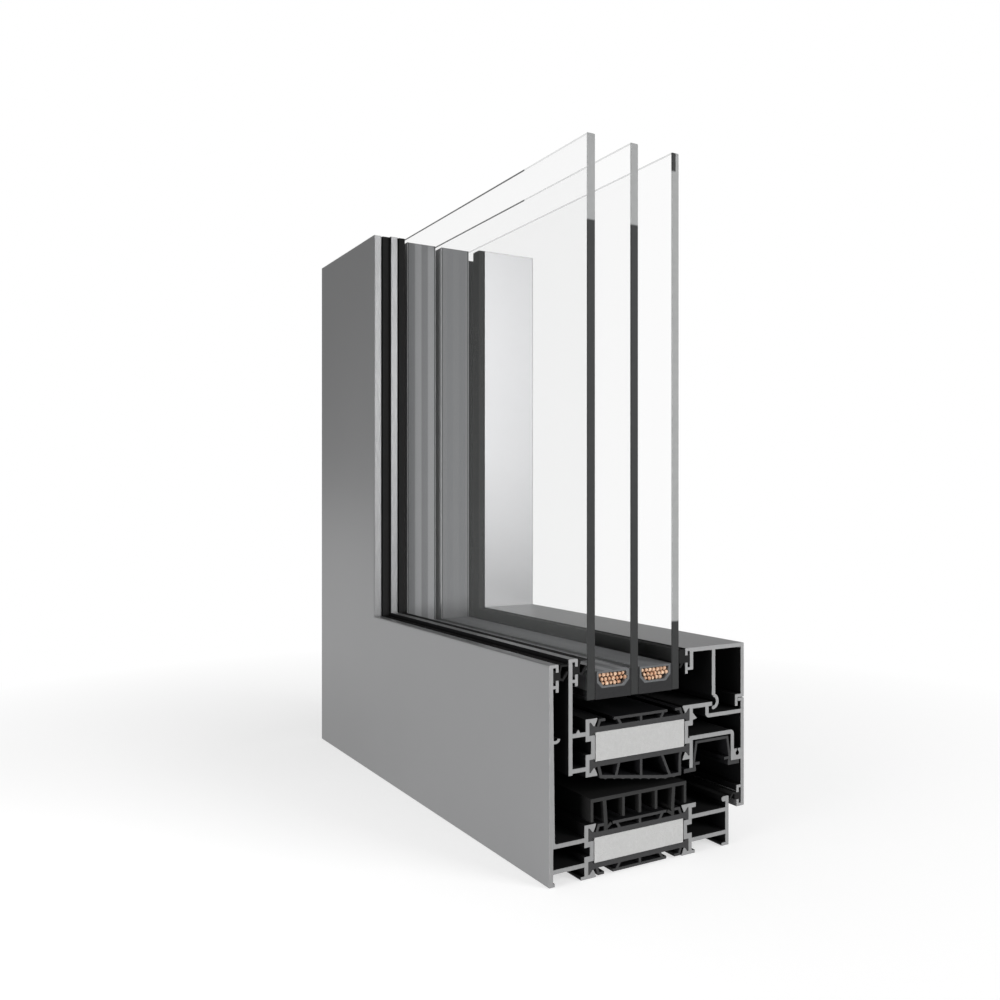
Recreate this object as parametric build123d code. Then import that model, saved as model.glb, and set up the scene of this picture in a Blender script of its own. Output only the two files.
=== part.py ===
from build123d import *
import os

# Corner sample of a thermally broken aluminium balcony door with a concealed sash,
# cut from the lower left corner of the door. Millimetres, +Z up, weather side at -Y.
# Sections are drawn as depth (0 on the weather face, growing towards the room) by
# height (0 on the outer edge of the frame, growing towards the glass). The rail runs
# along +X and the jamb along +Z; both carry the same sections and meet on the mitre.

# Sample legs, measured along their outer edges
RAIL_LENGTH = 267.0
JAMB_HEIGHT = 301.0

# Depth chain
SASH_SETBACK = 9.2
GLASS_SETBACK = 18.2
PANE_THICKNESS = 4.0
CAVITY_WIDTH = 18.0
FRAME_CLAW_SETBACK = 16.9
SASH_CLAW_SETBACK = 17.5
BREAK_WIDTH = 56.4
FRAME_INNER_DEPTH = 21.4
SASH_INNER_DEPTH = 30.0

# Height chain
FRAME_BODY_HEIGHT = 21.7
REBATE_HEIGHT = 19.3
SASH_BODY_HEIGHT = 23.3
GLASS_CLEARANCE = 7.5
GLASS_BITE = 17.4
FRAME_REVEAL = 1.6
BEAD_REVEAL = 0.3
OVERLAP = 5.7

# Aluminium walls
WALL = 1.8
WEB = 1.7
WEB_INSET = 5.0
LEAF_ROOT = 2.6
ROOT_RADIUS = 1.0
EDGE_RADIUS = 0.5
FOOT_THICKNESS = 1.3
FOOT_REACH = 1.8
TOE_REACH = 4.0
KNOB_THICKNESS = 2.3
TEE_REACH = 2.3
TEE_THICKNESS = 1.9
SNAP_HOOK_DROP = 30.6
SNAP_HOOK_REACH = 2.8
SNAP_HOOK_RADIUS = 1.5
SNAP_HOOK_WALL = 1.2

# Claws that grip the insulating strips
CLAW_REACH = 5.6
CLAW_ARM = 1.5
CLAW_TIP = 0.6
TOOTH_DEPTH = 3.1
TOOTH_ROOT = 0.7
TOOTH_WIDTH = 0.6
TOOTH_SETBACK = 1.2
SEAT_DEPTH = 6.8
LEDGE_THICKNESS = 2.2
LEDGE_REACH = 4.5

# Insulating strips and foam cores
PLATE_DEPTH = 3.6
PLATE_THICKNESS = 2.1
FOOT_TAPER = 1.2
SKIN = 1.1
SKIN_DEPTH = 0.5
EAR_ROOT = 0.3
EAR_LEAN = 1.1
EAR_REACH = 2.7
SNAP_MOUTH = 4.4
RIB_INSET = 1.9
RIB_LEAN = 1.9
FIT = 0.1
FOAM_GAP = 0.4

# Sloping chamber under the sash
CHAMBER_SKIN = 1.3
CHAMBER_DROP = 5.6
CHAMBER_RISE = 4.9
CHAMBER_NEAR = 1.9
CHAMBER_FAR = 1.6
CHAMBER_FLAT = 8.6
CHAMBER_SHOULDER = 2.0
CHAMBER_RIB_NEAR = 7.6
CHAMBER_RIB_FAR = 5.4
CHAMBER_RIB_LEAN = 4.8
RIDGE_PITCH = 4.5
RIDGE_HALF_WIDTH = 2.2
RIDGE_HEIGHT = 0.4

# Comb insulator in the rebate
COMB_HEIGHT = 10.1
COMB_WALL = 1.5
COMB_MARGIN = 3.1
COMB_LEG = 1.6
COMB_LEG_LEAN = 0.7
COMB_RIB = 1.2
COMB_RIB_PITCH = 8.6
COMB_CLEARANCE = 0.8

# Gasket grooves, all of one pattern, and the gaskets in them
GROOVE_DEPTH = 1.3
GROOVE_LIP = 1.3
GROOVE_FLANGE = 1.3
MOUTH_START = 3.1
MOUTH_END = 6.3
GROOVE_RIB_START = 8.3
GROOVE_RIB = 1.2
GROOVE_TAIL = 1.5
GASKET_LIP = 0.9
GASKET_COVER = 0.7
GASKET_BARB = 1.1
V_REACH = 2.0
COVER_LEAN = 1.2
WEDGE = 6.1
WEDGE_LIP = 1.8
TOUCH = 0.12

# Sash and bead details
LEAF_SKIRT = 1.8
LOWER_WEB_INSET = 2.5
NUB_HEIGHT = 1.4
NUB_HALF_WIDTH = 1.0
NUB_SETBACK = 4.6
SIDE_NUB = 2.3
STEP_INSET = 22.7
STEP_RADIUS = 2.0
CLIP_INSET = 18.9
CLIP_WALL = 1.5
CLIP_BULGE = 3.1
CLIP_RISE = 2.8
LEAF_LIP = 3.6
LIP_THICKNESS = 1.3
BEAD_JOINT = 0.3
HOOK_WALL = 1.4
HOOK_DROP = 3.4
HOOK_CLEARANCE = 0.2

# Hardware groove, its screw port and its liner
HARDWARE_GROOVE_WIDTH = 22.2
HARDWARE_GROOVE_DEPTH = 11.9
GROOVE_LEG_DROP = 4.0
PORT_RADIUS = 1.05
PORT_SLOT = 0.8
PORT_SETBACK = 3.9
PORT_RISE = 2.9
PORT_WALL = 0.95
LINER_GAP = 0.7
LINER_LEAN = 1.5
LINER_HEEL = 2.0
LINER_FOOT = 3.2
LINER_WING = 6.6
WING_THICKNESS = 1.7

# Glass edge
GLASS_ARRIS = 0.3
SPACER_WALL = 0.8
SPACER_HEIGHT = 6.9
SPACER_CHAMFER = 2.5
BUTYL = 0.8
SEAL_DEPTH = 4.4

# Levels and faces that follow from the chains
SASH_LOW = FRAME_BODY_HEIGHT + REBATE_HEIGHT
SASH_HIGH = SASH_LOW + SASH_BODY_HEIGHT
GLASS_EDGE = SASH_HIGH + GLASS_CLEARANCE
SIGHT_LINE = GLASS_EDGE + GLASS_BITE
BEAD_TOP = SIGHT_LINE - BEAD_REVEAL
FRAME_FACE = SIGHT_LINE - FRAME_REVEAL
OVERLAP_EDGE = FRAME_BODY_HEIGHT - OVERLAP
GROOVE_LEG_END = SASH_LOW - GROOVE_LEG_DROP
FRAME_ROOM_CLAW = FRAME_CLAW_SETBACK + BREAK_WIDTH
SASH_ROOM_CLAW = SASH_CLAW_SETBACK + BREAK_WIDTH
FRAME_DEPTH = FRAME_ROOM_CLAW + FRAME_INNER_DEPTH
ROOM_FACE = SASH_ROOM_CLAW + SASH_INNER_DEPTH
GLASS_ROOM_FACE = GLASS_SETBACK + 3 * PANE_THICKNESS + 2 * CAVITY_WIDTH
BEAD_GROOVE_FLOOR = GLASS_ROOM_FACE + WEDGE
LEDGE_DEPTH = SEAT_DEPTH + LEDGE_THICKNESS
TOOTH_TIP = CLAW_REACH - TOOTH_SETBACK
PLATE_BACK = PLATE_DEPTH + PLATE_THICKNESS
EAR_TIP = CLAW_REACH + EAR_ROOT + EAR_LEAN + EAR_REACH
PLATFORM = EAR_TIP + SNAP_MOUTH
BREAK_MIDDLE = BREAK_WIDTH / 2
GROOVE_OUT = GROOVE_DEPTH + GROOVE_LIP
GROOVE_RIB_END = GROOVE_RIB_START + GROOVE_RIB

RAIL_PLANE = Plane(origin=(0, 0, 0), x_dir=(0, 1, 0), z_dir=(1, 0, 0))
JAMB_PLANE = Plane(origin=(0, 0, 0), x_dir=(0, 1, 0), z_dir=(0, 0, -1))
MITRE = Plane(origin=(0, 0, 0), x_dir=(0, 1, 0), z_dir=(1, 0, -1))
CENTRE = Pos(-RAIL_LENGTH / 2, -ROOM_FACE / 2, 0)


def bar(d0, h0, d1, h1):
    """Straight wall between two opposite corners."""
    return Pos((d0 + d1) / 2, (h0 + h1) / 2) * Rectangle(abs(d1 - d0), abs(h1 - h0))


def outline(*points):
    """Straight-sided closed outline."""
    return make_face(Polyline(*points, close=True))


def band(thickness, *points):
    """Wall of even thickness along a bent line."""
    return trace(Polyline(*points), thickness)


def flip_depth(shape, depth=0):
    """Mirror a section about a line of constant depth."""
    return mirror(shape, about=Plane(origin=(depth, 0, 0), z_dir=(1, 0, 0)))


def flip_height(shape, height=0):
    """Mirror a section about a line of constant height."""
    return mirror(shape, about=Plane(origin=(0, height, 0), z_dir=(0, 1, 0)))


def round_at(shape, radius, *points):
    """Round the section corners nearest to the given points."""
    for depth, height in points:
        corner = shape.vertices().sort_by_distance((depth, height, 0))[0]
        shape = fillet(corner, radius)
    return shape


def claws(low, high):
    """Two claws back to back and the wall between them, gripping towards +depth."""
    claw = outline(
        (0, 0),
        (CLAW_REACH, 0),
        (CLAW_REACH, CLAW_TIP),
        (TOOTH_TIP, TOOTH_DEPTH),
        (TOOTH_TIP - TOOTH_WIDTH, TOOTH_DEPTH),
        (WALL + TOOTH_ROOT, CLAW_ARM),
        (WALL, CLAW_ARM),
        (WALL, SEAT_DEPTH),
        (LEDGE_REACH, SEAT_DEPTH),
        (LEDGE_REACH, LEDGE_DEPTH),
        (0, LEDGE_DEPTH),
    )
    middle = bar(LEDGE_REACH - WALL, low + LEDGE_DEPTH, LEDGE_REACH, high - LEDGE_DEPTH)
    return Pos(0, low) * claw + Pos(0, high) * flip_height(claw) + middle


def groove(tail):
    """Gasket groove: x grows out of its floor, y grows from its edge into the section."""
    shape = bar(0, 0, GROOVE_OUT, GROOVE_FLANGE)
    shape += bar(GROOVE_DEPTH, 0, GROOVE_OUT, MOUTH_START)
    shape += bar(0, GROOVE_RIB_START, GROOVE_OUT, GROOVE_RIB_END)
    shape += bar(GROOVE_DEPTH, MOUTH_END, GROOVE_OUT, GROOVE_RIB_END + tail)
    return shape


def gasket_root():
    """Barbed root that sits in a gasket groove, in the same axes as the groove."""
    low = GROOVE_FLANGE + GASKET_BARB
    high = GROOVE_RIB_START - GASKET_BARB
    shape = bar(FIT, low, GROOVE_DEPTH - FIT, high)
    shape += bar(FIT, MOUTH_START + FIT, GROOVE_OUT + GASKET_LIP, MOUTH_END - FIT)
    return shape


def lip_gasket(reach, cover):
    """Gasket with a sprung V lip, and a cover lip if asked, that meet a face at the reach."""
    half = GASKET_LIP / 2
    end = reach - TOUCH - half
    rise = MOUTH_START + half
    shape = gasket_root()
    shape += band(
        GASKET_LIP,
        (GROOVE_OUT, MOUTH_END - half - FIT),
        (GROOVE_OUT + V_REACH, MOUTH_END),
        (end, rise),
    )
    shape += Pos(end, rise) * Circle(half)
    if cover:
        shape += band(
            GASKET_COVER,
            (GROOVE_OUT + half, MOUTH_START + half),
            (GROOVE_OUT + COVER_LEAN, GASKET_COVER),
            (reach - TOUCH, GASKET_COVER),
        )
    return shape


def snap_hook():
    """Small hook that curls up from a short arm on the leaf."""
    end = SNAP_HOOK_REACH - SNAP_HOOK_RADIUS
    half = SNAP_HOOK_WALL / 2
    curl = trace(CenterArc((end, SNAP_HOOK_RADIUS), SNAP_HOOK_RADIUS, 270, 80), SNAP_HOOK_WALL)
    return bar(-half, -half, end, half) + curl


def frame_outer_section():
    """Weather half of the frame: tall leaf, hollow foot and the claws."""
    back = FRAME_CLAW_SETBACK + WALL
    web_high = FRAME_BODY_HEIGHT - WEB_INSET
    taper_end = FRAME_FACE - GROOVE_RIB_END - GROOVE_TAIL
    shape = bar(0, 0, WALL, FRAME_FACE)
    shape += outline((0, web_high), (LEAF_ROOT, web_high), (WALL, taper_end), (0, taper_end))
    shape += Pos(WALL, FRAME_FACE) * flip_height(groove(GROOVE_TAIL))
    shape += Pos(WALL, FRAME_FACE - SNAP_HOOK_DROP) * snap_hook()
    shape += bar(0, 0, LEAF_ROOT, FOOT_THICKNESS)
    shape += bar(0, WEB_INSET, back, WEB_INSET + WEB)
    shape += bar(0, web_high - WEB, back, web_high)
    shape += bar(FRAME_CLAW_SETBACK - FOOT_REACH, 0, back, FOOT_THICKNESS)
    shape += Pos(FRAME_CLAW_SETBACK, 0) * claws(0, FRAME_BODY_HEIGHT)
    shape = round_at(shape, ROOT_RADIUS, (LEAF_ROOT, web_high))
    return round_at(shape, EDGE_RADIUS, (0, FRAME_FACE), (WALL + GROOVE_OUT, FRAME_FACE))


def frame_inner_section():
    """Room half of the frame: claws, two webs and the low inner leaf with its knob."""
    high = FRAME_BODY_HEIGHT
    back = FRAME_ROOM_CLAW - WALL
    knob = FRAME_DEPTH - TOE_REACH
    shape = Pos(FRAME_ROOM_CLAW, 0) * flip_depth(claws(0, high))
    shape += bar(back, WEB_INSET, FRAME_DEPTH, WEB_INSET + WEB)
    shape += bar(back, high - WEB_INSET - WEB, FRAME_DEPTH, high - WEB_INSET)
    shape += bar(back, high - TEE_THICKNESS, FRAME_ROOM_CLAW + TEE_REACH, high)
    shape += bar(back, 0, FRAME_ROOM_CLAW + FOOT_REACH, FOOT_THICKNESS)
    shape += bar(FRAME_DEPTH - WALL, 0, FRAME_DEPTH, high)
    shape += bar(knob, 0, FRAME_DEPTH, FOOT_THICKNESS)
    shape += bar(knob, high - KNOB_THICKNESS, FRAME_DEPTH, high)
    shape = round_at(shape, ROOT_RADIUS, (knob, high), (knob, high - KNOB_THICKNESS))
    return round_at(shape, EDGE_RADIUS, (FRAME_DEPTH, high))


def strip_plate():
    """Plate with a dovetail foot in each claw; x from the claw wall, y from the claw face."""
    arm = CLAW_ARM + 2 * FIT
    foot = outline(
        (WALL + FIT, arm),
        (WALL + TOOTH_ROOT - FIT, arm),
        (TOOTH_TIP - TOOTH_WIDTH - FIT, TOOTH_DEPTH + FIT),
        (TOOTH_TIP + FIT, TOOTH_DEPTH + FIT),
        (CLAW_REACH, PLATE_DEPTH),
        (CLAW_REACH, PLATE_BACK),
        (LEDGE_REACH, PLATE_BACK),
        (LEDGE_REACH - FOOT_TAPER, SEAT_DEPTH),
        (WALL + FIT, SEAT_DEPTH),
    )
    plate = bar(LEDGE_REACH, PLATE_DEPTH, BREAK_WIDTH - LEDGE_REACH, PLATE_BACK)
    return plate + foot + flip_depth(foot, BREAK_MIDDLE)


def chambered_strip():
    """Strip with a closed chamber outside its plate and a snap groove on each side."""
    line = SKIN_DEPTH + SKIN / 2
    root = PLATE_DEPTH + SKIN / 2
    ear = CLAW_REACH + EAR_ROOT
    rib = PLATFORM + RIB_INSET
    side = band(SKIN, (ear, root), (ear + EAR_LEAN, line), (EAR_TIP, line))
    side += band(SKIN, (rib, line), (rib + RIB_LEAN, root))
    shape = strip_plate() + side + flip_depth(side, BREAK_MIDDLE)
    shape += bar(PLATFORM, SKIN_DEPTH, BREAK_WIDTH - PLATFORM, SKIN_DEPTH + SKIN)
    shape += bar(BREAK_MIDDLE - SKIN / 2, line, BREAK_MIDDLE + SKIN / 2, root)
    return shape


def frame_rebate_strip_section():
    return Pos(FRAME_CLAW_SETBACK, FRAME_BODY_HEIGHT) * flip_height(chambered_strip())


def frame_wall_strip_section():
    return Pos(FRAME_CLAW_SETBACK, 0) * chambered_strip()


def sash_glazing_strip_section():
    return Pos(SASH_CLAW_SETBACK, SASH_HIGH) * flip_height(chambered_strip())


def sash_rebate_strip_section():
    """Strip under the sash, with a large sloping chamber, ridged below, towards the rebate."""
    low = -CHAMBER_DROP
    root = PLATE_DEPTH + SKIN
    ear = CLAW_REACH + SKIN / 2
    near = CLAW_REACH + CHAMBER_NEAR
    far = BREAK_WIDTH - CLAW_REACH - CHAMBER_FAR
    bend = far - CHAMBER_FLAT
    near_rib = near + CHAMBER_RIB_NEAR
    far_rib = far - CHAMBER_RIB_FAR

    def slope(depth):
        return low + CHAMBER_RISE * (bend - depth) / (bend - near)

    def skin(depth):
        return max(low, slope(depth))

    shape = strip_plate()
    shape += band(
        CHAMBER_SKIN,
        (ear, root),
        (near, slope(near)),
        (bend, low),
        (far, low),
        (far, CHAMBER_SHOULDER),
        (BREAK_WIDTH - ear, root),
    )
    shape += band(SKIN, (near_rib + RIB_LEAN, root), (near_rib, slope(near_rib)))
    shape += band(SKIN, (BREAK_MIDDLE, root), (BREAK_MIDDLE, slope(BREAK_MIDDLE)))
    shape += band(SKIN, (far_rib - CHAMBER_RIB_LEAN, root), (far_rib, low))
    for step in range(int((far - near) / RIDGE_PITCH)):
        crest = near + RIDGE_PITCH * (step + 0.5)
        start = crest - RIDGE_HALF_WIDTH
        end = crest + RIDGE_HALF_WIDTH
        tip = skin(crest) - CHAMBER_SKIN / 2 - RIDGE_HEIGHT
        shape += outline((start, skin(start)), (crest, tip), (end, skin(end)))
    return Pos(SASH_CLAW_SETBACK, SASH_LOW) * shape


def foam_section(setback, low, high):
    """Foam core between the two strips and the two claw columns."""
    side = LEDGE_REACH + FOAM_GAP
    lift = PLATE_BACK + FIT
    return bar(setback + side, low + lift, setback + BREAK_WIDTH - side, high - lift)


def comb_section():
    """Comb insulator: two legs with sprung V feet in the strip, two skirts, three ribs, a back."""
    line = COMB_HEIGHT - COMB_WALL / 2
    half_rib = COMB_RIB / 2
    leg = EAR_TIP + COMB_LEG / 2 + FIT
    heel = half_rib - PLATE_DEPTH + FIT
    hook = PLATFORM - half_rib - FIT
    rib = BREAK_MIDDLE - COMB_RIB_PITCH
    half = bar(COMB_MARGIN, COMB_CLEARANCE, COMB_MARGIN + COMB_RIB, line)
    half += band(COMB_LEG, (leg - COMB_LEG_LEAN, line), (leg, 0), (leg, FIT - PLATE_DEPTH))
    half += band(COMB_RIB, (leg, heel), (hook, -SKIN_DEPTH - half_rib))
    half += bar(rib - half_rib, COMB_CLEARANCE, rib + half_rib, line)
    shape = half + flip_depth(half, BREAK_MIDDLE)
    shape += bar(BREAK_MIDDLE - half_rib, COMB_CLEARANCE, BREAK_MIDDLE + half_rib, line)
    shape += bar(COMB_MARGIN, COMB_HEIGHT - COMB_WALL, BREAK_WIDTH - COMB_MARGIN, COMB_HEIGHT)
    return Pos(FRAME_CLAW_SETBACK, FRAME_BODY_HEIGHT) * shape


def outer_rebate_gasket_section():
    gasket = lip_gasket(SASH_SETBACK - WALL, True)
    return Pos(WALL, FRAME_FACE) * flip_height(gasket)


def sash_outer_section():
    """Weather half of the sash: leaf with glazing groove, two webs and the claws."""
    face = SASH_SETBACK
    back = SASH_CLAW_SETBACK + WALL
    web_high = SASH_HIGH - WEB_INSET
    web_low = SASH_LOW + LOWER_WEB_INSET
    nub = face + NUB_SETBACK
    shape = bar(face, SASH_LOW + LEAF_SKIRT, face + WALL, SIGHT_LINE)
    shape += Pos(face + WALL, SIGHT_LINE) * flip_height(groove(GROOVE_TAIL))
    shape += bar(face, web_high - WEB, back, web_high)
    shape += bar(face, web_low, back, web_low + WEB)
    shape += outline(
        (nub - NUB_HALF_WIDTH, web_high),
        (nub, web_high + NUB_HEIGHT),
        (nub + NUB_HALF_WIDTH, web_high),
    )
    shape += Pos(SASH_CLAW_SETBACK, 0) * claws(SASH_LOW, SASH_HIGH)
    corners = [(face, SIGHT_LINE), (face + WALL + GROOVE_OUT, SIGHT_LINE)]
    return round_at(shape, EDGE_RADIUS, *corners)


def screw_port():
    """Block with a round screw port, open upwards through a narrow slot."""
    block = PORT_RADIUS + PORT_WALL
    shape = bar(-PORT_SETBACK, -PORT_RISE, PORT_SETBACK, block)
    return shape - Circle(PORT_RADIUS) - bar(-PORT_SLOT / 2, 0, PORT_SLOT / 2, block)


def sash_inner_section():
    """Room half of the sash: claws, hardware groove, stepped rebate floor and tall leaf."""
    claw = SASH_ROOM_CLAW
    leaf = ROOM_FACE - WALL
    step = ROOM_FACE - STEP_INSET
    low = GROOVE_LEG_END
    roof = low + HARDWARE_GROOVE_DEPTH
    far = claw + HARDWARE_GROOVE_WIDTH
    web_high = SASH_HIGH - WEB_INSET
    web_low = web_high - WEB
    shape = Pos(claw, 0) * flip_depth(claws(SASH_LOW, SASH_HIGH))
    shape += bar(claw - WALL, SASH_HIGH - WALL, ROOM_FACE - CLIP_INSET, SASH_HIGH)
    shape += outline(
        (claw, web_low), (claw + SIDE_NUB, web_low + WEB / 3), (claw, web_high + NUB_HEIGHT)
    )
    shape += bar(step, web_low, step + WALL, SASH_HIGH)
    shape += bar(step, web_low, ROOM_FACE, web_high)
    shape += bar(leaf, OVERLAP_EDGE, ROOM_FACE, SASH_HIGH)
    shape += bar(ROOM_FACE - LEAF_LIP, SASH_HIGH - LIP_THICKNESS, ROOM_FACE, SASH_HIGH)
    shape += bar(claw - WALL, low, claw, roof + WALL)
    shape += bar(claw - WALL, roof, far + WALL, roof + WALL)
    shape += bar(far, low, far + WALL, roof + WALL)
    shape += Pos(ROOM_FACE - PORT_SETBACK, low + PORT_RISE) * screw_port()
    shape += Pos(leaf, OVERLAP_EDGE) * flip_depth(groove(0))
    shape = round_at(shape, STEP_RADIUS, (far + WALL, roof + WALL), (step, web_low))
    return round_at(shape, EDGE_RADIUS, (ROOM_FACE, OVERLAP_EDGE), (ROOM_FACE, SASH_HIGH))


def groove_liner_section():
    """Sprung plastic liner in the hardware groove, with wings under the groove legs."""
    half_skin = SKIN / 2
    low = GROOVE_LEG_END
    top = low + HARDWARE_GROOVE_DEPTH - LINER_GAP - half_skin
    wing = low - FIT
    wing_low = wing - WING_THICKNESS
    heel = low + LINER_HEEL
    near = SASH_ROOM_CLAW + half_skin + FIT
    middle = SASH_ROOM_CLAW + HARDWARE_GROOVE_WIDTH / 2
    toe = near + SKIN
    half = band(
        SKIN,
        (middle, top),
        (near + LINER_LEAN, top),
        (near, heel),
        (near + half_skin, wing - half_skin),
    )
    half += bar(toe - LINER_WING, wing_low, toe, wing)
    half += bar(near, heel - SKIN, near + LINER_FOOT, heel)
    return half + flip_depth(half, middle)


def inner_rebate_gasket_section():
    leaf = ROOM_FACE - WALL
    gasket = lip_gasket(leaf - FRAME_DEPTH, False)
    return Pos(leaf, OVERLAP_EDGE) * flip_depth(gasket)


def outer_glazing_gasket_section():
    gasket = lip_gasket(GLASS_SETBACK - SASH_SETBACK - WALL, True)
    return Pos(SASH_SETBACK + WALL, SIGHT_LINE) * flip_height(gasket)


def inner_glazing_gasket_section():
    """Wedge gasket between the bead and the inner pane, with a trailing lip."""
    out = GROOVE_OUT + FIT
    end = WEDGE - TOUCH
    shape = gasket_root()
    shape += round_at(
        bar(out, EDGE_RADIUS, end, MOUTH_END), EDGE_RADIUS, (end, EDGE_RADIUS), (end, MOUTH_END)
    )
    lip = (end - GASKET_LIP / 2, MOUTH_END + WEDGE_LIP)
    shape += band(GASKET_LIP, (out + GASKET_LIP, MOUTH_END - GASKET_LIP), lip)
    return Pos(BEAD_GROOVE_FLOOR, BEAD_TOP) * flip_height(flip_depth(shape))


def glazing_bead_section():
    """Glazing bead: gasket groove, spring clip over the rebate floor, hook behind the leaf."""
    floor = BEAD_GROOVE_FLOOR
    top = BEAD_TOP
    low = SASH_HIGH + BEAD_JOINT
    clip = ROOM_FACE - CLIP_INSET
    clip_top = SASH_HIGH + CLIP_RISE
    hook = ROOM_FACE - LEAF_LIP - HOOK_CLEARANCE
    toe = (clip + HOOK_WALL / 2, SASH_HIGH - WALL - CLIP_WALL / 2 - TOUCH)
    spring = ThreePointArc((clip + WALL / 2, clip_top), (clip + CLIP_BULGE, SASH_HIGH), toe)
    shape = bar(floor, top - WALL, ROOM_FACE, top)
    shape += bar(floor, top - GROOVE_RIB_END, floor + WALL, top)
    shape += Pos(floor, top) * flip_height(flip_depth(groove(GROOVE_TAIL)))
    shape += bar(ROOM_FACE - WALL, low, ROOM_FACE, top)
    shape += bar(hook - HOOK_WALL, low, ROOM_FACE, low + HOOK_WALL)
    shape += bar(hook - HOOK_WALL, SASH_HIGH - HOOK_DROP, hook, low)
    shape += bar(clip, clip_top, clip + WALL, top)
    shape += trace(spring, CLIP_WALL)
    shape += Pos(*toe) * Circle(CLIP_WALL / 2)
    return round_at(shape, EDGE_RADIUS, (ROOM_FACE, top), (floor - GROOVE_OUT, top))


def pane_start(index):
    """Depth at which a pane starts, counted from the weather side."""
    return GLASS_SETBACK + index * (PANE_THICKNESS + CAVITY_WIDTH)


def spacer_outline(index, inset):
    """Outline of the spacer bar in one cavity, chamfered on its outer corners."""
    low = GLASS_EDGE + SEAL_DEPTH + inset
    high = GLASS_EDGE + SEAL_DEPTH + SPACER_HEIGHT - inset
    near = pane_start(index) + PANE_THICKNESS + BUTYL + inset
    far = pane_start(index + 1) - BUTYL - inset
    shape = bar(near, low, far, high)
    return chamfer(shape.vertices().group_by(Axis.Y)[0], SPACER_CHAMFER)


def spacer_section(index):
    return spacer_outline(index, 0) - spacer_outline(index, SPACER_WALL)


def desiccant_section(index):
    return spacer_outline(index, SPACER_WALL)


def edge_seal_section(index):
    """Seal that fills the cavity below the spacer and along its two sides."""
    near = pane_start(index) + PANE_THICKNESS
    high = GLASS_EDGE + SEAL_DEPTH + SPACER_HEIGHT
    return bar(near, GLASS_EDGE, pane_start(index + 1), high) - spacer_outline(index, 0)


def rail(section):
    """Section run along the floor from the mitre to the sawn end."""
    run = extrude(RAIL_PLANE * section, amount=RAIL_LENGTH, dir=(1, 0, 0))
    return split(run, bisect_by=MITRE, keep=Keep.TOP)


def jamb(section):
    """Section run upright from the mitre to the sawn top."""
    run = extrude(JAMB_PLANE * section, amount=JAMB_HEIGHT, dir=(0, 0, 1))
    return split(run, bisect_by=MITRE, keep=Keep.BOTTOM)


def pane(index):
    """Glass pane with arrissed edges, two of them hidden in the glazing rebate."""
    size = (RAIL_LENGTH - GLASS_EDGE, PANE_THICKNESS, JAMB_HEIGHT - GLASS_EDGE)
    sheet = Box(*size, align=(Align.MIN, Align.MIN, Align.MIN))
    sheet = chamfer(sheet.edges(), GLASS_ARRIS)
    return Pos(GLASS_EDGE, pane_start(index), GLASS_EDGE) * sheet


def save(name, shape):
    export_step(CENTRE * shape, f"parts/{name}.step")


MEMBERS = {
    "frame_outer": frame_outer_section(),
    "frame_inner": frame_inner_section(),
    "frame_rebate_strip": frame_rebate_strip_section(),
    "frame_wall_strip": frame_wall_strip_section(),
    "frame_foam": foam_section(FRAME_CLAW_SETBACK, 0, FRAME_BODY_HEIGHT),
    "comb_insulator": comb_section(),
    "outer_rebate_gasket": outer_rebate_gasket_section(),
    "sash_outer": sash_outer_section(),
    "sash_inner": sash_inner_section(),
    "sash_glazing_strip": sash_glazing_strip_section(),
    "sash_rebate_strip": sash_rebate_strip_section(),
    "sash_foam": foam_section(SASH_CLAW_SETBACK, SASH_LOW, SASH_HIGH),
    "groove_liner": groove_liner_section(),
    "inner_rebate_gasket": inner_rebate_gasket_section(),
    "outer_glazing_gasket": outer_glazing_gasket_section(),
    "inner_glazing_gasket": inner_glazing_gasket_section(),
    "glazing_bead": glazing_bead_section(),
}

os.makedirs("parts", exist_ok=True)
for name, section in MEMBERS.items():
    save(f"{name}_rail", rail(section))
    save(f"{name}_jamb", jamb(section))
for index, place in enumerate(("outer", "middle", "inner")):
    save(f"glass_pane_{place}", pane(index))
for index, place in enumerate(("outer", "inner")):
    for piece, section in (
        ("spacer", spacer_section(index)),
        ("desiccant", desiccant_section(index)),
        ("edge_seal", edge_seal_section(index)),
    ):
        save(f"{piece}_{place}", rail(section) + jamb(section))
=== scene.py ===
import math
import random

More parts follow.
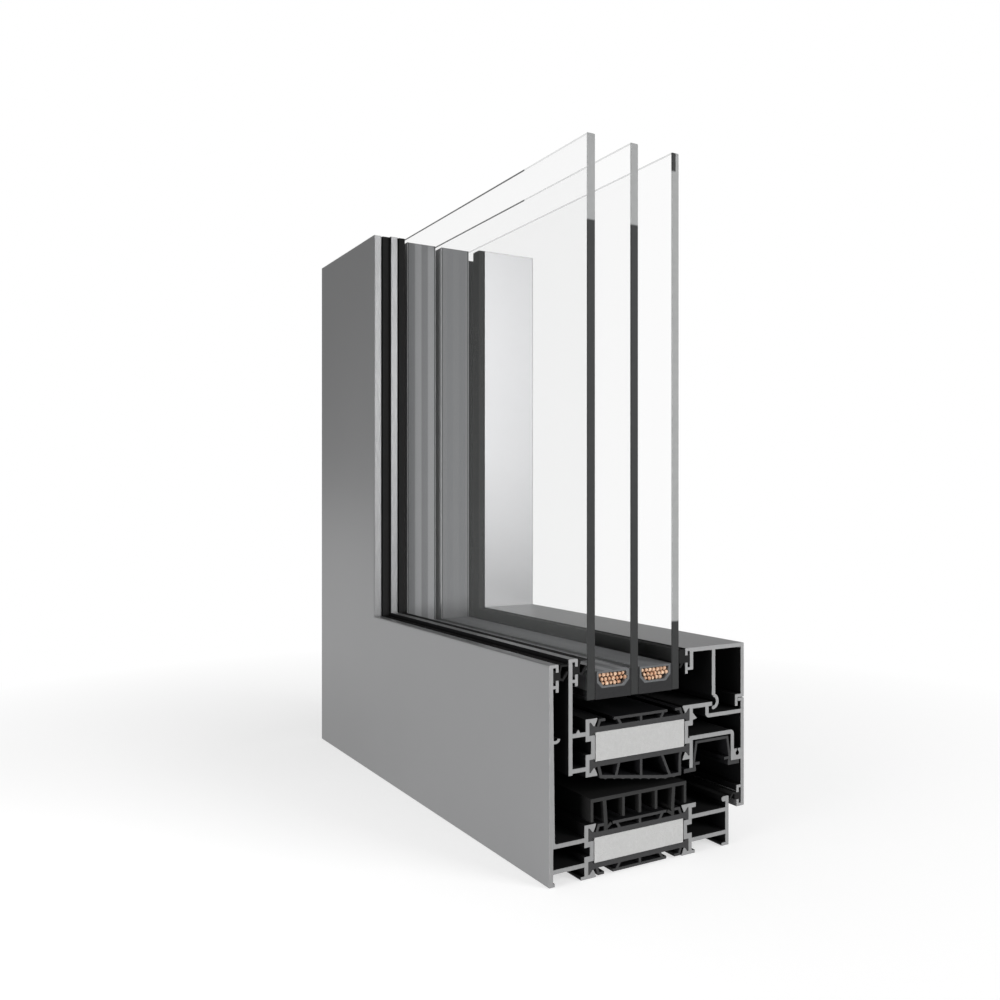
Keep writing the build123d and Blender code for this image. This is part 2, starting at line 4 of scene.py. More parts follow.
import bpy
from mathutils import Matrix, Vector


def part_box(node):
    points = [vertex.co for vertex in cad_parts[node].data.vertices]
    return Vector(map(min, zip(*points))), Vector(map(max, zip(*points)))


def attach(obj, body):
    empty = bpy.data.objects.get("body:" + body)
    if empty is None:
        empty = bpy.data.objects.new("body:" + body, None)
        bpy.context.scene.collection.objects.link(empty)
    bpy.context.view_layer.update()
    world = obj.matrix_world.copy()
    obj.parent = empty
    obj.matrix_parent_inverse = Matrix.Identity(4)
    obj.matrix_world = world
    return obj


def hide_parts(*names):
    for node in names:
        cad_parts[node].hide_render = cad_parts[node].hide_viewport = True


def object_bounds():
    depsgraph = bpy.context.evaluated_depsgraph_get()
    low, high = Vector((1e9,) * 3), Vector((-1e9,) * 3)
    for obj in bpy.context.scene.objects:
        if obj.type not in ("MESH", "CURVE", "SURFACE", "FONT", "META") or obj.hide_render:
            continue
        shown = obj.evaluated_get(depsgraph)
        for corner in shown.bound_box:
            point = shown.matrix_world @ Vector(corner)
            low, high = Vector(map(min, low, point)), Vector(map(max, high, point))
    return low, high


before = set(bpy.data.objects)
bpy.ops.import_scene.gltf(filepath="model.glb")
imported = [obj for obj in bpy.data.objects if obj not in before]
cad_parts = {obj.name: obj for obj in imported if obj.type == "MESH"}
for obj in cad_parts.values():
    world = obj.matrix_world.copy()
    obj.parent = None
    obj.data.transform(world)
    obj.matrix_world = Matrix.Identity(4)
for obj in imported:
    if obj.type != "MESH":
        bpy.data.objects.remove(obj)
cad_low, cad_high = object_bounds()


# Aluminium profiles: the weather and room halves of the frame and of the sash, and the
# glazing bead. They are extruded, coated satin grey on the faces that show, painted near
# black as painted shade inside their chambers and on the hidden front faces of the sash
# and bead, and sawn square to bare metal at the two ends of the sample.
def math_step(tree, operation, first, second=0.0):
    step = tree.nodes.new("ShaderNodeMath")
    step.operation = operation
    for socket, value in zip(step.inputs, (first, second)):
        if isinstance(value, bpy.types.NodeSocket):
            tree.links.new(value, socket)
        else:
            socket.default_value = value
    return step.outputs[0]


def between(tree, value, low, high):
    above = math_step(tree, "GREATER_THAN", value, low)
    below = math_step(tree, "LESS_THAN", value, high)
    return math_step(tree, "MULTIPLY", above, below)


def remap(tree, value, low, high, to_low, to_high):
    node = tree.nodes.new("ShaderNodeMapRange")
    tree.links.new(value, node.inputs["Value"])
    node.inputs["From Min"].default_value = low
    node.inputs["From Max"].default_value = high
    node.inputs["To Min"].default_value = to_low
    node.inputs["To Max"].default_value = to_high
    return node.outputs["Result"]


def mix_colour(tree, factor, first, second):
    node = tree.nodes.new("ShaderNodeMix")
    node.data_type = "RGBA"
    tree.links.new(factor, node.inputs[0])
    for socket, value in ((node.inputs[6], first), (node.inputs[7], second)):
        if isinstance(value, bpy.types.NodeSocket):
            tree.links.new(value, socket)
        else:
            socket.default_value = (*value, 1.0)
    return node.outputs[2]


def mix_value(tree, factor, first, second):
    node = tree.nodes.new("ShaderNodeMix")
    tree.links.new(factor, node.inputs[0])
    for socket, value in ((node.inputs[2], first), (node.inputs[3], second)):
        if isinstance(value, bpy.types.NodeSocket):
            tree.links.new(value, socket)
        else:
            socket.default_value = value
    return node.outputs[0]


def around(colour, spread):
    """A darker and a paler neighbour of a colour."""
    return [tuple(share * c for c in colour) for share in (1.0 - spread, 1.0 + spread)]


def speckle(tree, place, scale, detail, stretch=(1.0, 1.0, 1.0)):
    turn = tree.nodes.new("ShaderNodeMapping")
    turn.inputs["Scale"].default_value = stretch
    tree.links.new(place, turn.inputs["Vector"])
    noise = tree.nodes.new("ShaderNodeTexNoise")
    noise.inputs["Scale"].default_value = scale
    noise.inputs["Detail"].default_value = detail
    tree.links.new(turn.outputs[0], noise.inputs["Vector"])
    return noise.outputs["Fac"]


def relief(tree, height, depth, strength):
    bump = tree.nodes.new("ShaderNodeBump")
    bump.inputs["Distance"].default_value = depth
    bump.inputs["Strength"].default_value = strength
    tree.links.new(height, bump.inputs["Height"])
    return bump.outputs["Normal"]


SAW_SKIN = 0.0002


def section_axes(tree):
    """Depth from the weather face, height from the outer edge, and the two saw cuts."""
    place = tree.nodes.new("ShaderNodeTexCoord").outputs["Object"]
    split = tree.nodes.new("ShaderNodeSeparateXYZ")
    tree.links.new(place, split.inputs[0])
    x, y, z = split.outputs
    along_x = math_step(tree, "SUBTRACT", x, cad_low.x)
    along_z = math_step(tree, "SUBTRACT", z, cad_low.z)
    sawn_x = math_step(tree, "GREATER_THAN", x, cad_high.x - SAW_SKIN)
    sawn_z = math_step(tree, "GREATER_THAN", z, cad_high.z - SAW_SKIN)
    return {
        "place": place,
        "x": x,
        "z": z,
        "depth": math_step(tree, "SUBTRACT", y, cad_low.y),
        "height": math_step(tree, "MINIMUM", along_x, along_z),
        "sawn": math_step(tree, "MAXIMUM", sawn_x, sawn_z),
    }


def new_finish(name):
    material = bpy.data.materials.new(name)
    material.use_nodes = True
    tree = material.node_tree
    return material, tree, tree.nodes["Principled BSDF"]


def dress(node, material):
    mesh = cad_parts[node].data
    mesh.materials.clear()
    mesh.materials.append(material)


room_face = cad_high.y - cad_low.y
lip_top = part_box("frame_outer_rail")[1].z - cad_low.z
leaf_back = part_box("frame_inner_rail")[1].y - cad_low.y
leaf_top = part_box("frame_inner_rail")[1].z - cad_low.z
sash_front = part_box("sash_outer_rail")[0].y - cad_low.y
bead_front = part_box("glazing_bead_rail")[0].y - cad_low.y
FACE_SKIN = 0.0003
ROOM_SKIN = 0.0005
LIP_WRAP = 0.0010
HIDDEN_REACH = 0.0010
LEAF_WRAP = 0.0013

COAT_GREY = (0.225, 0.226, 0.229)
COAT_SPREAD = 0.06
COAT_METAL = 0.65
COAT_ROUGH = (0.29, 0.36)
LIP_ROUGH = 0.44
BEAD_ROUGH = 0.325
# Painted shade: near black for the chambers and hidden faces, standing in for the shade there.
CHAMBER_PAINTED_SHADE = (0.002, 0.002, 0.002), (0.004, 0.004, 0.0045)
CHAMBER_ROUGH = 0.9
SAW_TONES = (0.226, 0.229, 0.232), (0.328, 0.328, 0.328)
SAW_METAL = 0.35
SAW_ROUGH = 0.5
SAW_STROKES = (0.15, 6.0, 0.6)
MOTTLE_SCALE = 9.0
PEEL_SCALE = 2600.0
STROKE_SCALE = 420.0
MARK_DEPTH = 0.00004


def coated_aluminium(name, lip_rough):
    material, tree, shader = new_finish(name)
    axes = section_axes(tree)
    weather = math_step(tree, "LESS_THAN", axes["depth"], FACE_SKIN)
    lips = math_step(tree, "GREATER_THAN", axes["height"], lip_top - LIP_WRAP)
    # Painted shade: the hidden front faces of the sash and the bead are taken out of the lips and
    # painted near black.
    for front in (sash_front, bead_front):
        hidden = between(tree, axes["depth"], front - HIDDEN_REACH, front + FACE_SKIN)
        lips = math_step(tree, "SUBTRACT", lips, hidden)
    lips = math_step(tree, "MAXIMUM", lips, 0.0)
    room = math_step(tree, "GREATER_THAN", axes["depth"], room_face - ROOM_SKIN)
    feet = math_step(tree, "LESS_THAN", axes["height"], FACE_SKIN)
    leaf = math_step(tree, "GREATER_THAN", axes["depth"], leaf_back - FACE_SKIN)
    leaf_low = math_step(tree, "LESS_THAN", axes["height"], leaf_top + LEAF_WRAP)
    leaf = math_step(tree, "MULTIPLY", leaf, leaf_low)
    shown = weather
    for face in (lips, room, feet, leaf):
        shown = math_step(tree, "MAXIMUM", shown, face)

    mottle = speckle(tree, axes["place"], MOTTLE_SCALE, 4.0)
    peel = speckle(tree, axes["place"], PEEL_SCALE, 2.0)
    strokes = speckle(tree, axes["place"], STROKE_SCALE, 4.0, SAW_STROKES)
    coat_tone = mix_colour(tree, mottle, *around(COAT_GREY, COAT_SPREAD))
    # Painted shade: every face outside the shown masks gets the near-black chamber tone, for shade
    # in chambers and rebates.
    chamber_shade_tone = mix_colour(tree, mottle, *CHAMBER_PAINTED_SHADE)
    saw_tone = mix_colour(tree, strokes, *SAW_TONES)
    tone = mix_colour(tree, shown, chamber_shade_tone, coat_tone)
    tree.links.new(mix_colour(tree, axes["sawn"], tone, saw_tone), shader.inputs["Base Color"])
    metal = mix_value(tree, shown, 0.0, COAT_METAL)
    tree.links.new(mix_value(tree, axes["sawn"], metal, SAW_METAL), shader.inputs["Metallic"])
    satin = remap(tree, peel, 0.3, 0.7, *COAT_ROUGH)
    satin = mix_value(tree, lips, satin, lip_rough)
    rough = mix_value(tree, shown, CHAMBER_ROUGH, satin)
    tree.links.new(mix_value(tree, axes["sawn"], rough, SAW_ROUGH), shader.inputs["Roughness"])
    marks = mix_value(tree, axes["sawn"], peel, strokes)
    tree.links.new(relief(tree, marks, MARK_DEPTH, 0.35), shader.inputs["Normal"])
    shader.inputs["Specular IOR Level"].default_value = 0.2
    return material


for member, lip_rough in (
    ("frame_outer", LIP_ROUGH),
    ("frame_inner", LIP_ROUGH),
    ("sash_outer", LIP_ROUGH),
    ("sash_inner", LIP_ROUGH),
    ("glazing_bead", BEAD_ROUGH),
):
    coating = coated_aluminium(f"{member}_satin_coat", lip_rough)
    for run in ("rail", "jamb"):
        dress(f"{member}_{run}", coating)


# Insulating strips: four black polyamide strips, filled with glass fibre, rolled into the
# claws of the aluminium halves, and the sprung plastic liner in the hardware groove.
# The sawn ends show a paler, dusty grey than the moulded faces.
FACE_SPREAD = 0.3
CUT_SPREAD = 0.2
CUT_ROUGH = 0.75
FIBRE_DEPTH = 0.00006


def dark_plastic(name, face, cut, grain, rough, gloss):
    material, tree, shader = new_finish(name)
    axes = section_axes(tree)
    fibre = speckle(tree, axes["place"], grain, 4.0)
    face_tone = mix_colour(tree, fibre, *around(face, FACE_SPREAD))
    cut_tone = mix_colour(tree, fibre, *around(cut, CUT_SPREAD))
    tone = mix_colour(tree, axes["sawn"], face_tone, cut_tone)
    tree.links.new(tone, shader.inputs["Base Color"])
    tree.links.new(mix_value(tree, axes["sawn"], rough, CUT_ROUGH), shader.inputs["Roughness"])
    tree.links.new(relief(tree, fibre, FIBRE_DEPTH, 0.4), shader.inputs["Normal"])
    shader.inputs["Specular IOR Level"].default_value = gloss
    return material


POLYAMIDE_BLACK = (0.010, 0.010, 0.011)
POLYAMIDE_CUT = (0.050, 0.050, 0.051)
for member in (
    "frame_rebate_strip",
    "frame_wall_strip",
    "sash_glazing_strip",
    "sash_rebate_strip",
    "groove_liner",
):
    polyamide = dark_plastic(
        f"{member}_polyamide", POLYAMIDE_BLACK, POLYAMIDE_CUT, grain=1500.0, rough=0.55, gloss=0.14
    )
    for run in ("rail", "jamb"):
        dress(f"{member}_{run}", polyamide)


# Rubber pieces: the comb insulator snapped into the rebate and the four gaskets. They are
# extruded from black rubber, duller than the strips, and cut with them.
RUBBER_BLACK = (0.018, 0.018, 0.018)
COMB_CUT = (0.044, 0.044, 0.044)
GASKET_CUT = (0.022, 0.022, 0.022)
for member, cut in (
    ("comb_insulator", COMB_CUT),
    ("outer_rebate_gasket", GASKET_CUT),
    ("inner_rebate_gasket", GASKET_CUT),
    ("outer_glazing_gasket", GASKET_CUT),
    ("inner_glazing_gasket", GASKET_CUT),
):
    rubber = dark_plastic(
        f"{member}_rubber", RUBBER_BLACK, cut, grain=2200.0, rough=0.7, gloss=0.02
    )
    for run in ("rail", "jamb"):
        dress(f"{member}_{run}", rubber)


# Foam cores: blocks of off-white rigid foam pushed in between the strips. The cut shows
# closed cells a few tenths of a millimetre across.
FOAM_TONES = (0.46, 0.46, 0.456), (0.60, 0.60, 0.595)
FOAM_PORES = (0.51, 0.51, 0.505)
CELL_SCALE = 1700.0
CLOUD_SCALE = 700.0
PORE_DEPTH = 0.00015


def cell_foam(name):
    material, tree, shader = new_finish(name)
    axes = section_axes(tree)
    cells = tree.nodes.new("ShaderNodeTexVoronoi")
    cells.inputs["Scale"].default_value = CELL_SCALE
    tree.links.new(axes["place"], cells.inputs["Vector"])
    clouds = speckle(tree, axes["place"], CLOUD_SCALE, 5.0)
    pores = remap(tree, cells.outputs["Distance"], 0.1, 0.7, 0.0, 1.0)
    pale = mix_colour(tree, clouds, *FOAM_TONES)
    tree.links.new(mix_colour(tree, pores, FOAM_PORES, pale), shader.inputs["Base Color"])
    shader.inputs["Roughness"].default_value = 0.9
    tree.links.new(relief(tree, pores, PORE_DEPTH, 0.5), shader.inputs["Normal"])
    return material


foam_finish = cell_foam("off_white_foam")
for member in ("frame_foam", "sash_foam"):
    for run in ("rail", "jamb"):
        dress(f"{member}_{run}", foam_finish)


# Glass: three panes of clear float glass, arrissed and cut flush with the sawn ends.
# The faces are nearly invisible. The sawn edges are grey with painted light and shade: pale
# between two set heights, where light would come down through the pane, and dark elsewhere
# as a painted reflection of the colour of the channel. A thin strip along the top front of
# each pane is a painted highlight, and painted shade where it is dark.
ARRIS = 0.00035
FRONT_HALF = 0.0021
EDGE_FADE = 0.0004
# Painted light and painted shade for the sawn edges of the panes.
EDGE_PAINTED_LIGHT = (0.33, 0.335, 0.335), (0.40, 0.405, 0.405)
EDGE_PAINTED_SHADE = (0.028, 0.029, 0.029), (0.038, 0.039, 0.039)
EDGE_ROUGH = 0.5
RIM_HEIGHT = 0.0010
RIM_DEPTH = 0.00028
# Painted highlight and painted shade for the thin strip along the top front of each pane.
RIM_PALE = (0.40, 0.405, 0.405)
RIM_DARK = (0.05, 0.051, 0.051)
RIM_PALE_COVER = 0.4
RIM_DARK_COVER = 0.9
FILM_GREY = (0.30, 0.309, 0.306)


def clear_glass(name, front, film, pale_from, pale_to, dark_until):
    material, tree, shader = new_finish(name)
    axes = section_axes(tree)
    sawn_end = math_step(tree, "GREATER_THAN", axes["x"], cad_high.x - ARRIS)
    front_half = math_step(tree, "LESS_THAN", axes["depth"], front + FRONT_HALF)
    # Painted light and shade: the sawn edge is pale between pale_from and pale_to and dark
    # elsewhere, set by position.
    start = remap(tree, axes["z"], pale_from - EDGE_FADE, pale_from + EDGE_FADE, 0.0, 1.0)
    stop = remap(tree, axes["z"], pale_to - EDGE_FADE, pale_to + EDGE_FADE, 0.0, 1.0)
    stop = math_step(tree, "MULTIPLY", stop, front_half)
    lit = math_step(tree, "SUBTRACT", start, stop)
    ripple = speckle(tree, axes["place"], 300.0, 2.0)
    pale = mix_colour(tree, ripple, *EDGE_PAINTED_LIGHT)
    dark = mix_colour(tree, ripple, *EDGE_PAINTED_SHADE)
    edge_tone = mix_colour(tree, lit, dark, pale)

    # Painted highlight: a thin strip along the top front arris is made nearly opaque, pale, or
    # dark as painted shade below dark_until in x.
    at_top = math_step(tree, "GREATER_THAN", axes["z"], cad_high.z - RIM_HEIGHT)
    at_front = math_step(tree, "LESS_THAN", axes["depth"], front + RIM_DEPTH)
    rim = math_step(tree, "MULTIPLY", at_top, at_front)
    rim_dark = math_step(tree, "LESS_THAN", axes["x"], dark_until)
    rim_tone = mix_colour(tree, rim_dark, RIM_PALE, RIM_DARK)
    rim_cover = mix_value(tree, rim_dark, RIM_PALE_COVER, RIM_DARK_COVER)
    face_tone = mix_colour(tree, rim, FILM_GREY, rim_tone)
    tree.links.new(mix_colour(tree, sawn_end, face_tone, edge_tone), shader.inputs["Base Color"])
    cover = mix_value(tree, rim, film, rim_cover)
    tree.links.new(mix_value(tree, sawn_end, cover, 1.0), shader.inputs["Alpha"])
    solid = math_step(tree, "MAXIMUM", sawn_end, rim)
    tree.links.new(mix_value(tree, solid, 0.0, EDGE_ROUGH), shader.inputs["Roughness"])
    shader.inputs["IOR"].default_value = 1.5
    shader.inputs["Specular IOR Level"].default_value = 0.12
    return material


for pane, film, pale_from, pale_to, dark_until in (
    ("outer", 0.050, 0.266, 0.400, 0.085),
    ("middle", 0.025, 0.267, 0.400, 0.049),
    ("inner", 0.025, 0.101, 0.293, -0.200),
):
    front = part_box(f"glass_pane_{pane}")[0].y - cad_low.y
    finish = clear_glass(f"float_glass_{pane}", front, film, pale_from, pale_to, dark_until)
    dress(f"glass_pane_{pane}", finish)


# Spacer bars: hollow grey composite bars that hold the panes apart. Paler lines along
# their inner faces are a painted reflection of the profile lips in the weather pane. Butyl
# seals their sides to the panes, painted grey as a painted reflection of the spacer's side,
# and a dark grey sealant poured in behind them fills the rest of the glass edge.
# Painted reflection of the lips: pitch, phase and softness of the paler lines.
REFLECTION_PITCH = 0.0082
REFLECTION_PHASE = -1.91
REFLECTION_SOFTNESS = 0.3
SPACER_CUT = (0.116, 0.120, 0.124), (0.176, 0.181, 0.186)


def composite_spacer(name, dark, pale):
    material, tree, shader = new_finish(name)
    axes = section_axes(tree)
    # Painted reflection: soft paler lines along the depth stand in for the lips mirrored in the
    # weather pane.
    waves = math_step(tree, "MULTIPLY", axes["depth"], 2.0 * math.pi / REFLECTION_PITCH)
    reflected_lines = math_step(tree, "SINE", math_step(tree, "ADD", waves, REFLECTION_PHASE))
    reflected_lines = remap(tree, reflected_lines, -REFLECTION_SOFTNESS, REFLECTION_SOFTNESS, 0.0, 1.0)
    fibre = speckle(tree, axes["place"], 900.0, 4.0)
    face = mix_colour(tree, reflected_lines, dark, pale)
    cut = mix_colour(tree, fibre, *SPACER_CUT)
    tree.links.new(mix_colour(tree, axes["sawn"], face, cut), shader.inputs["Base Color"])
    shader.inputs["Roughness"].default_value = 0.6
    shader.inputs["Specular IOR Level"].default_value = 0.05
    tree.links.new(relief(tree, fibre, 0.00005, 0.3), shader.inputs["Normal"])
    return material


SEALANT_GREY = (0.030, 0.030, 0.031)
SEALANT_CUT = (0.029, 0.029, 0.030)
# Painted reflection: the grey of the spacer's side, laid on the butyl strips.
BUTYL_PAINTED_REFLECTION = (0.34, 0.344, 0.35)
BUTYL_SKIN = 0.0003
BUTYL_DROP = 0.0017


def sealed_edge(name, front, back, spacer_foot):
    """Dark sealant; grey butyl where the spacer meets the panes is a painted reflection."""
    material = dark_plastic(name, SEALANT_GREY, SEALANT_CUT, grain=800.0, rough=0.6, gloss=0.14)
    tree = material.node_tree
    shader = tree.nodes["Principled BSDF"]
    axes = section_axes(tree)
    before = math_step(tree, "LESS_THAN", axes["depth"], front + BUTYL_SKIN)
    behind = math_step(tree, "GREATER_THAN", axes["depth"], back - BUTYL_SKIN)
    beside_pane = math_step(tree, "MAXIMUM", before, behind)
    beside_spacer = math_step(tree, "GREATER_THAN", axes["height"], spacer_foot - BUTYL_DROP)
    butyl = math_step(tree, "MULTIPLY", beside_pane, beside_spacer)
    butyl = math_step(tree, "MULTIPLY", butyl, math_step(tree, "SUBTRACT", 1.0, axes["sawn"]))
    sealant = shader.inputs["Base Color"].links[0].from_socket
    # Painted reflection: the butyl strips take a pale grey that stands in for the spacer's side
    # seen through the pane.
    tree.links.new(mix_colour(tree, butyl, sealant, BUTYL_PAINTED_REFLECTION), shader.inputs["Base Color"])
    return material


# Each cavity gives the spacer's grey and the paler tone of its painted reflection lines.
for cavity, dark, pale in (
    ("outer", (0.185, 0.188, 0.193), (0.285, 0.288, 0.294)),
    ("inner", (0.180, 0.183, 0.188), (0.192, 0.195, 0.200)),
):
    dress(f"spacer_{cavity}", composite_spacer(f"spacer_composite_{cavity}", dark, pale))
    front, back = (corner.y - cad_low.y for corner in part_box(f"edge_seal_{cavity}"))
    spacer_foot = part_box(f"spacer_{cavity}")[0].z - cad_low.z
    sealed = sealed_edge(f"edge_sealant_{cavity}", front, back, spacer_foot)
    dress(f"edge_seal_{cavity}", sealed)


# Desiccant: each spacer bar is filled with tan beads a little under two millimetres across,
# which dry the air between the panes. At the two sawn ends the loose beads themselves show,
# packed over a fill that stands a little back from the cut. The back layer of beads is
# painted darker as painted shade, and the fill is painted near black as painted shadow.
def bead_clay(name, dark, pale, grain):
    material, tree, shader = new_finish(name)
    axes = section_axes(tree)
    lots = speckle(tree, axes["place"], grain, 2.0)
    lots = remap(tree, lots, 0.35, 0.65, 0.0, 1.0)
    tree.links.new(mix_colour(tree, lots, dark, pale), shader.inputs["Base Color"])
    shader.inputs["Roughness"].default_value = 0.7
    dust = speckle(tree, axes["place"], 4000.0, 3.0)
    tree.links.new(relief(tree, dust, 0.00005, 0.5), shader.inputs["Normal"])
    return material


def only_select(piece):
    bpy.ops.object.select_all(action="DESELECT")
    piece.select_set(True)
    bpy.context.view_layer.objects.active = piece


def cut_back(piece, point, normal):
    """Saws off what lies beyond a plane and closes the cut."""
    only_select(piece)
    bpy.ops.object.mode_set(mode="EDIT")
    bpy.ops.mesh.select_all(action="SELECT")
    bpy.ops.mesh.bisect(plane_co=point, plane_no=normal, use_fill=True, clear_outer=True)
    bpy.ops.object.mode_set(mode="OBJECT")


BEAD_RADIUS = 0.00086
BEAD_SQUASH = (1.0, 0.92, 1.06)
BEAD_SIZES = (0.85, 1.08)
BEAD_PITCH = 0.0020
ROW_PITCH = 0.87 * BEAD_PITCH
BEAD_JITTER = 0.00012
SETBACK_JITTER = 0.0003
EDGE_ROOM = 0.8 * BEAD_RADIUS
LAYER_SETBACKS = (0.0007, 0.0017)
FILL_SETBACK = 0.0022
FILL_RISE = 0.0053
SPACER_CHAMFER = 0.0025

bead_finish = bead_clay("desiccant_beads", (0.52, 0.28, 0.165), (0.85, 0.61, 0.43), 420.0)
# Painted shade: the back layer of beads is a darker copy of the bead colour.
shaded_bead_finish = bead_clay("desiccant_beads_painted_shade", (0.10, 0.05, 0.03), (0.22, 0.12, 0.07), 420.0)
# Painted shadow: the fill behind the beads is near black.
fill_finish = bead_clay("desiccant_shadow", (0.020, 0.011, 0.007), (0.05, 0.026, 0.016), 700.0)
shuffle = random.Random(7)

for cavity in ("outer", "inner"):
    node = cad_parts[f"desiccant_{cavity}"]
    low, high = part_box(f"desiccant_{cavity}")
    fill = node.copy()
    fill.data = node.data.copy()
    fill.name = f"desiccant_fill_{cavity}"
    fill.parent = None
    for key in list(fill.keys()):
        del fill[key]
    bpy.context.scene.collection.objects.link(fill)
    only_select(fill)
    bpy.ops.object.mode_set(mode="EDIT")
    bpy.ops.mesh.select_all(action="SELECT")
    bpy.ops.mesh.remove_doubles(threshold=0.00001)
    bpy.ops.object.mode_set(mode="OBJECT")
    cut_back(fill, (cad_high.x - FILL_SETBACK, 0, 0), (1, 0, 0))
    cut_back(fill, (0, 0, cad_high.z - FILL_SETBACK), (0, 0, 1))
    fill.data.materials.clear()
    fill.data.materials.append(fill_finish)

    bpy.ops.object.select_all(action="DESELECT")
    bpy.ops.mesh.primitive_uv_sphere_add(segments=10, ring_count=7, radius=BEAD_RADIUS)
    bead = bpy.context.object
    bpy.ops.object.mode_set(mode="EDIT")
    bpy.ops.mesh.select_all(action="SELECT")
    bpy.ops.transform.resize(value=BEAD_SQUASH)
    bpy.ops.object.mode_set(mode="OBJECT")
    bpy.ops.object.shade_smooth()

    beads = []
    for layer, setback in enumerate(LAYER_SETBACKS):
        row = 0
        rise = low.z + BEAD_RADIUS
        while rise < low.z + FILL_RISE - EDGE_ROOM:
            pinch = max(0.0, SPACER_CHAMFER - (rise - low.z))
            across = low.y + pinch + BEAD_RADIUS + 0.5 * BEAD_PITCH * ((row + layer) % 2)
            while across < high.y - pinch - EDGE_ROOM:
                for end in ("rail", "jamb"):
                    back = setback + shuffle.uniform(0.0, SETBACK_JITTER)
                    side = across + shuffle.uniform(-BEAD_JITTER, BEAD_JITTER)
                    up = rise + shuffle.uniform(-BEAD_JITTER, BEAD_JITTER)
                    copy = bead.copy()
                    copy.data = bead.data.copy()
                    copy.data.materials.append(shaded_bead_finish if layer else bead_finish)
                    if end == "rail":
                        copy.location = (cad_high.x - back, side, up)
                    else:
                        copy.location = (cad_low.x + up - cad_low.z, side, cad_high.z - back)
                    copy.rotation_euler = [shuffle.uniform(0.0, math.pi) for _ in range(3)]
                    copy.scale = [shuffle.uniform(*BEAD_SIZES)] * 3
                    bpy.context.scene.collection.objects.link(copy)
                    beads.append(copy)
                across += BEAD_PITCH
            rise += ROW_PITCH
            row += 1
    bpy.data.objects.remove(bead)
    bpy.ops.object.select_all(action="DESELECT")
    for copy in beads:
        copy.select_set(True)
    fill.select_set(True)
    bpy.context.view_layer.objects.active = fill
    bpy.ops.object.join()
    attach(fill, "root")
    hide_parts(f"desiccant_{cavity}")


# Studio: a pale floor that runs out to white, one tall softbox on the right behind the
# cut, a low fill close to the weather face that stays out of reflections, and a weak
# light from above.
def camera_sees(tree):
    path = tree.nodes.new("ShaderNodeLightPath")
    seen = math_step(
        tree, "MAXIMUM", path.outputs["Is Camera Ray"], path.outputs["Is Glossy Ray"]
    )
    return math_step(tree, "MAXIMUM", seen, path.outputs["Is Transmission Ray"])


FLOOR_SIZE = 30.0
FLOOR_DROP = 0.0003
FLOOR_GLOW = 0.62
FLOOR_PAPER = (0.48, 0.48, 0.48, 1.0)
FLOOR_FADE = (0.18, 0.48)
bpy.ops.object.select_all(action="DESELECT")
bpy.ops.mesh.primitive_plane_add(size=FLOOR_SIZE, location=(0, 0, cad_low.z - FLOOR_DROP))
floor = bpy.context.object
floor.name = "studio_floor"
bpy.ops.object.transform_apply(location=True, rotation=True, scale=True)
paper, tree, shader = new_finish("pale_paper")
shader.inputs["Base Color"].default_value = FLOOR_PAPER
shader.inputs["Roughness"].default_value = 1.0
shader.inputs["Specular IOR Level"].default_value = 0.0
place = tree.nodes.new("ShaderNodeTexCoord").outputs["Object"]
reach = tree.nodes.new("ShaderNodeVectorMath")
reach.operation = "LENGTH"
tree.links.new(place, reach.inputs[0])
fade = remap(tree, reach.outputs["Value"], *FLOOR_FADE, 0.0, 1.0)
seen = camera_sees(tree)
glow = tree.nodes.new("ShaderNodeEmission")
tree.links.new(math_step(tree, "MULTIPLY", seen, FLOOR_GLOW), glow.inputs["Strength"])
near = tree.nodes.new("ShaderNodeAddShader")
tree.links.new(shader.outputs[0], near.inputs[0])
tree.links.new(glow.outputs[0], near.inputs[1])
white = tree.nodes.new("ShaderNodeEmission")
tree.links.new(seen, white.inputs["Strength"])
sheet = tree.nodes.new("ShaderNodeMixShader")
tree.links.new(fade, sheet.inputs[0])
tree.links.new(near.outputs[0], sheet.inputs[1])
tree.links.new(white.outputs[0], sheet.inputs[2])
tree.links.new(sheet.outputs[0], tree.nodes["Material Output"].inputs["Surface"])
floor.data.materials.append(paper)

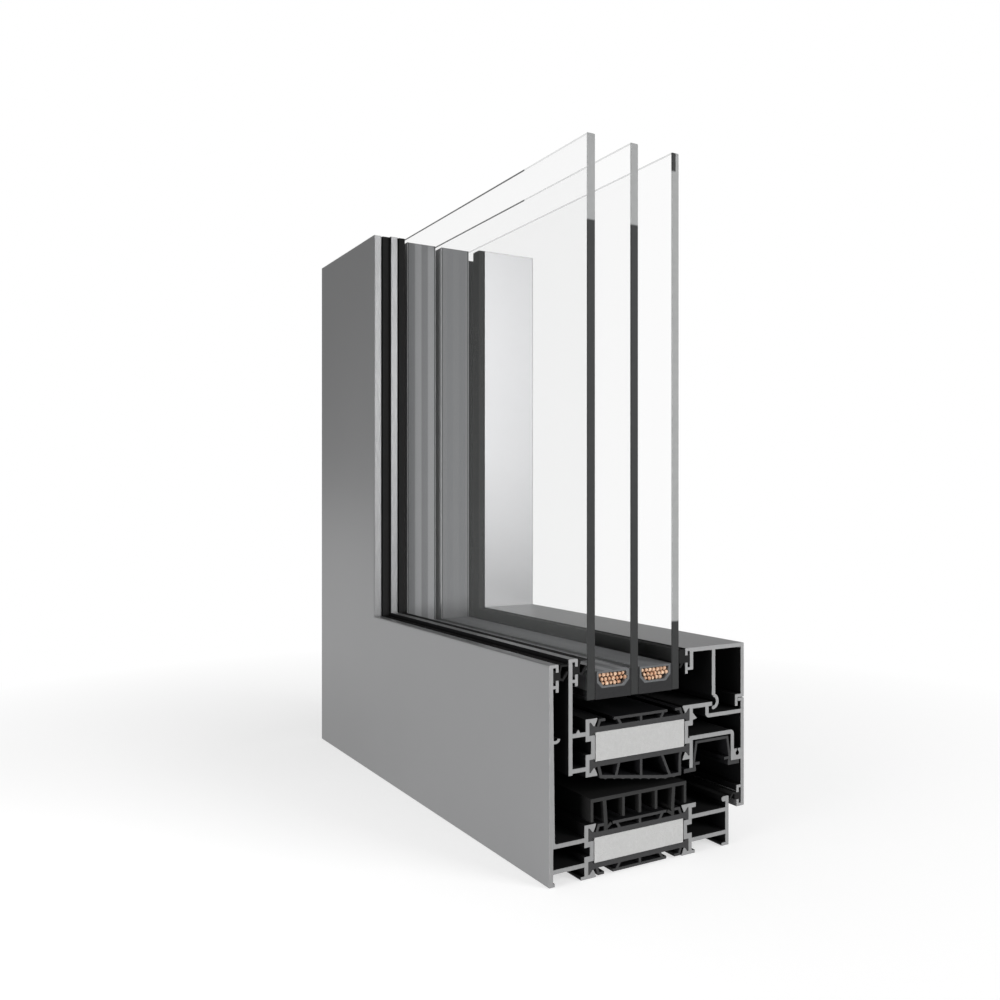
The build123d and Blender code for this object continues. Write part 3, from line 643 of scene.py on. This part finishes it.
WORLD_LIGHT = 0.28
MIRRORED_DIM = 0.40
HORIZON_BAND = (0.03, 0.22)
FRONT_BAND = (-0.3, 0.2)
world = bpy.data.worlds.new("white_studio")
bpy.context.scene.world = world
world.use_nodes = True
tree = world.node_tree
path = tree.nodes.new("ShaderNodeLightPath")
aim = tree.nodes.new("ShaderNodeSeparateXYZ")
tree.links.new(tree.nodes.new("ShaderNodeTexCoord").outputs["Generated"], aim.inputs[0])
upward = remap(tree, aim.outputs["Z"], *HORIZON_BAND, 1.0, MIRRORED_DIM)
behind = remap(tree, aim.outputs["Y"], *FRONT_BAND, 0.0, 1.0)
mirrored = mix_value(tree, behind, MIRRORED_DIM, upward)
seen = math_step(
    tree, "MAXIMUM", path.outputs["Is Camera Ray"], path.outputs["Is Transmission Ray"]
)
power = mix_value(tree, path.outputs["Is Glossy Ray"], WORLD_LIGHT, mirrored)
power = mix_value(tree, seen, power, 1.0)
background = tree.nodes["Background"]
background.inputs["Color"].default_value = (1.0, 1.0, 1.0, 1.0)
tree.links.new(power, background.inputs["Strength"])


def softbox(name, place, aim, size, power, in_reflections=True):
    bpy.ops.object.light_add(type="AREA", location=place)
    lamp = bpy.context.object
    lamp.name = name
    lamp.visible_camera = False
    lamp.visible_glossy = in_reflections
    lamp.data.shape = "RECTANGLE"
    lamp.data.size, lamp.data.size_y = size
    lamp.data.energy = power
    lamp.rotation_euler = (Vector(aim) - Vector(place)).to_track_quat("-Z", "Y").to_euler()


softbox(
    "softbox_right",
    place=(1.00, 0.50, 0.40),
    aim=(-0.03, 0.0, 0.15),
    size=(0.5, 0.75),
    power=9.5,
)
softbox(
    "fill_front",
    place=(0.17, -0.50, 0.06),
    aim=(0.08, -0.05, 0.06),
    size=(0.3, 0.1),
    power=3.2,
    in_reflections=False,
)
softbox(
    "light_above",
    place=(0.0, 0.1, 1.6),
    aim=(0.0, 0.0, 0.0),
    size=(1.2, 1.2),
    power=2.0,
)


# Camera: level, at the height of the middle of the sample, turned sixty degrees so that
# the weather face shows on the left and the sawn rail on the right.
CAMERA_PLACE = (0.4415, -0.25215, 0.1527)
CAMERA_TURN = 60.0
CAMERA_SENSOR = 36.0
CAMERA_LENS = 33.61
bpy.ops.object.camera_add(
    location=CAMERA_PLACE, rotation=(math.radians(90), 0, math.radians(CAMERA_TURN))
)
camera = bpy.context.object
camera.data.sensor_width = CAMERA_SENSOR
camera.data.lens = CAMERA_LENS
bpy.context.scene.camera = camera
bpy.context.scene.view_settings.view_transform = "Standard"
